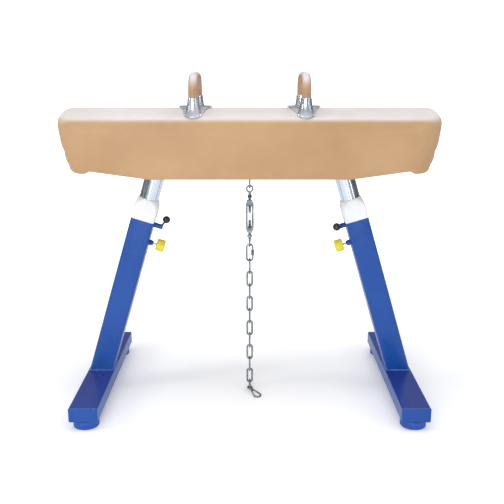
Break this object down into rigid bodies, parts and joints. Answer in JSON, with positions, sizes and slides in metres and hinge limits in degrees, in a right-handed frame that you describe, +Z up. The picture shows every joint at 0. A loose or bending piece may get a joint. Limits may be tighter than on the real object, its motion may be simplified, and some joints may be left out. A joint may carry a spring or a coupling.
{
  "type": "pommel horse",
  "caption": "Padded gymnastics horse with two sliding pommels on telescopic, inward-leaning legs, held down by a chain and turnbuckle.",
  "frame": {"origin": "on the floor, midway between the four feet", "axes": "+X along the body, +Z up, -Y towards the front, where the clamp lever of the right leg points"},
  "size_m": [1.55, 0.845, 1.403],
  "materials": {
    "cover_leather": "satin grain",
    "padding_foam": "matte",
    "laminated_wood": "satin",
    "grip_plastic": "satin",
    "cast_aluminium": "polished",
    "zinc_steel": "zinc plated",
    "link_steel": "zinc plated",
    "hook_steel": "dark nickel",
    "post_chrome": "hard chrome",
    "blue_paint": "gloss powder coat",
    "foot_rubber": "satin",
    "white_collar": "satin",
    "black_ball": "gloss",
    "yellow_knob": "satin"
  },
  "bodies": {
    "horse": {"leather_cover": "cover_leather", "foam_padding": "padding_foam", "wood_core": "laminated_wood", "bottom_board": "laminated_wood", "left_post": "post_chrome", "right_post": "post_chrome", "chain_anchor": "link_steel"},
    "left_stand": {"left_base_bar": "blue_paint", "left_front_end_plate": "blue_paint", "left_rear_end_plate": "blue_paint", "left_front_foot": "foot_rubber", "left_rear_foot": "foot_rubber", "left_leg_tube": "blue_paint", "left_guide_collar": "white_collar", "left_clamp_boss": "blue_paint", "left_plunger_boss": "blue_paint"},
    "left_clamp_lever": {"left_clamp_screw": "blue_paint", "left_clamp_ball": "black_ball"},
    "left_plunger": {"left_plunger_pin": "zinc_steel", "left_plunger_knob": "yellow_knob"},
    "left_pommel": {"left_pommel_grip": "grip_plastic", "left_pommel_base": "cast_aluminium", "left_pommel_clamp_bar": "zinc_steel"},
    "right_stand": {"right_base_bar": "blue_paint", "right_front_end_plate": "blue_paint", "right_rear_end_plate": "blue_paint", "right_front_foot": "foot_rubber", "right_rear_foot": "foot_rubber", "right_leg_tube": "blue_paint", "right_guide_collar": "white_collar", "right_clamp_boss": "blue_paint", "right_plunger_boss": "blue_paint"},
    "right_clamp_lever": {"right_clamp_screw": "blue_paint", "right_clamp_ball": "black_ball"},
    "right_plunger": {"right_plunger_pin": "zinc_steel", "right_plunger_knob": "yellow_knob"},
    "right_pommel": {"right_pommel_grip": "grip_plastic", "right_pommel_base": "cast_aluminium", "right_pommel_clamp_bar": "zinc_steel"},
    "upper_screw": {"upper_eye_bolt": "link_steel", "upper_locknut": "link_steel"},
    "turnbuckle": {"turnbuckle_body": "link_steel"},
    "lower_screw": {"lower_eye_bolt": "link_steel", "lower_locknut": "link_steel"},
    "quick_link": {"quick_link": "link_steel"},
    "quick_sleeve": {"quick_link_sleeve": "link_steel"},
    "link_01": {"chain_link_01": "link_steel"},
    "link_02": {"chain_link_02": "link_steel"},
    "link_03": {"chain_link_03": "link_steel"},
    "link_04": {"chain_link_04": "link_steel"},
    "link_05": {"chain_link_05": "link_steel"},
    "link_06": {"chain_link_06": "link_steel"},
    "link_07": {"chain_link_07": "link_steel"},
    "link_08": {"chain_link_08": "link_steel"},
    "link_09": {"chain_link_09": "link_steel"},
    "link_10": {"chain_link_10": "link_steel"},
    "link_11": {"chain_link_11": "link_steel"},
    "swivel_eye": {"swivel_eye": "hook_steel"},
    "snap_hook": {"snap_hook": "hook_steel"},
    "snap_gate": {"snap_gate": "link_steel"}
  },
  "joints": [
    {"name": "height_left", "type": "slide", "parent": "left_stand", "child": "horse", "axis": [0.2924, 0, 0.9563], "range_m": [0, 0.2]},
    {"name": "height_right", "type": "slide", "parent": "horse", "child": "right_stand", "axis": [0.2924, 0, -0.9563], "range_m": [0, 0.2]},
    {"name": "left_clamp_turn", "type": "hinge", "parent": "left_stand", "child": "left_clamp_lever", "pos_m": [-0.40716, 0, 0.75703], "axis": [0.9563, 0, -0.2924], "range_deg": [0, 150]},
    {"name": "left_plunger_pull", "type": "slide", "parent": "left_stand", "child": "left_plunger", "axis": [0.9563, 0, -0.2924], "range_m": [0, 0.012], "stiffness_N_per_m": 400, "springref_m": -0.004},
    {"name": "left_pommel_slide", "type": "slide", "parent": "horse", "child": "left_pommel", "axis": [1, 0, 0], "range_m": [0, 0.025]},
    {"name": "right_clamp_turn", "type": "hinge", "parent": "right_stand", "child": "right_clamp_lever", "pos_m": [0.40716, 0, 0.75703], "axis": [-0.9563, 0, -0.2924], "range_deg": [0, 150]},
    {"name": "right_plunger_pull", "type": "slide", "parent": "right_stand", "child": "right_plunger", "axis": [-0.9563, 0, -0.2924], "range_m": [0, 0.012], "stiffness_N_per_m": 400, "springref_m": -0.004},
    {"name": "right_pommel_slide", "type": "slide", "parent": "horse", "child": "right_pommel", "axis": [-1, 0, 0], "range_m": [0, 0.025]},
    {"name": "upper_eye_swing", "type": "hinge", "parent": "horse", "child": "upper_screw", "pos_m": [0, 0, 0.9225], "axis": [0, 1, 0], "range_deg": [-20, 20]},
    {"name": "turnbuckle_travel", "type": "slide", "parent": "upper_screw", "child": "turnbuckle", "axis": [0, 0, 1], "range_m": [-0.02, 0.009]},
    {"name": "lower_screw_travel", "type": "slide", "parent": "turnbuckle", "child": "lower_screw", "axis": [0, 0, 1], "range_m": [-0.02, 0.009]},
    {"name": "quick_link_swing", "type": "hinge", "parent": "lower_screw", "child": "quick_link", "pos_m": [0, 0, 0.6628], "axis": [0, 1, 0], "range_deg": [-20, 20]},
    {"name": "quick_sleeve_travel", "type": "slide", "parent": "quick_link", "child": "quick_sleeve", "axis": [0, 0, 1], "range_m": [0, 0.012]},
    {"name": "link_01_swing", "type": "hinge", "parent": "quick_link", "child": "link_01", "pos_m": [0, 0, 0.5965], "axis": [1, 0, 0], "range_deg": [-20, 0]},
    {"name": "link_02_swing", "type": "hinge", "parent": "link_01", "child": "link_02", "pos_m": [0, 0, 0.5384], "axis": [0, 1, 0], "range_deg": [-20, 0]},
    {"name": "link_03_swing", "type": "hinge", "parent": "link_02", "child": "link_03", "pos_m": [0, 0, 0.4803], "axis": [1, 0, 0], "range_deg": [-20, 0]},
    {"name": "link_04_swing", "type": "hinge", "parent": "link_03", "child": "link_04", "pos_m": [0, 0, 0.4222], "axis": [0, 1, 0], "range_deg": [-20, 0]},
    {"name": "link_05_swing", "type": "hinge", "parent": "link_04", "child": "link_05", "pos_m": [0, 0, 0.3641], "axis": [1, 0, 0], "range_deg": [-20, 0]},
    {"name": "link_06_swing", "type": "hinge", "parent": "link_05", "child": "link_06", "pos_m": [0, 0, 0.306], "axis": [0, 1, 0], "range_deg": [-20, 0]},
    {"name": "link_07_swing", "type": "hinge", "parent": "link_06", "child": "link_07", "pos_m": [0, 0, 0.2479], "axis": [1, 0, 0], "range_deg": [-20, 0]},
    {"name": "link_08_swing", "type": "hinge", "parent": "link_07", "child": "link_08", "pos_m": [0, 0, 0.1898], "axis": [0, 1, 0], "range_deg": [-20, 0]},
    {"name": "link_09_swing", "type": "hinge", "parent": "link_08", "child": "link_09", "pos_m": [0, 0, 0.1317], "axis": [1, 0, 0], "range_deg": [-20, 0]},
    {"name": "link_10_swing", "type": "hinge", "parent": "link_09", "child": "link_10", "pos_m": [0, 0, 0.0736], "axis": [0, 1, 0], "range_deg": [-20, 0]},
    {"name": "link_11_lift", "type": "hinge", "parent": "link_10", "child": "link_11", "pos_m": [0, 0, 0.0155], "axis": [1, 0, 0], "range_deg": [-45, 0]},
    {"name": "hook_turn", "type": "hinge", "parent": "link_11", "child": "swivel_eye", "pos_m": [0, -0.0581, 0.0155], "axis": [0, 0, 1], "range_deg": [-30, 30]},
    {"name": "hook_swivel", "type": "hinge", "parent": "swivel_eye", "child": "snap_hook", "pos_m": [0.01099, -0.07714, 0.0124], "axis": [-0.4951, 0.8576, 0.1394], "continuous": true},
    {"name": "snap_gate_turn", "type": "hinge", "parent": "snap_hook", "child": "snap_gate", "pos_m": [0.01174, -0.09717, 0.00991], "axis": [0.0697, -0.1207, 0.9902], "range_deg": [0, 25], "stiffness_Nm_per_rad": 0.02, "springref_deg": -11.46}
  ],
  "couplings": [
    {"joint": "height_right", "follows": "height_left", "ratio": 1},
    {"joint": "lower_screw_travel", "follows": "turnbuckle_travel", "ratio": 1}
  ]
}
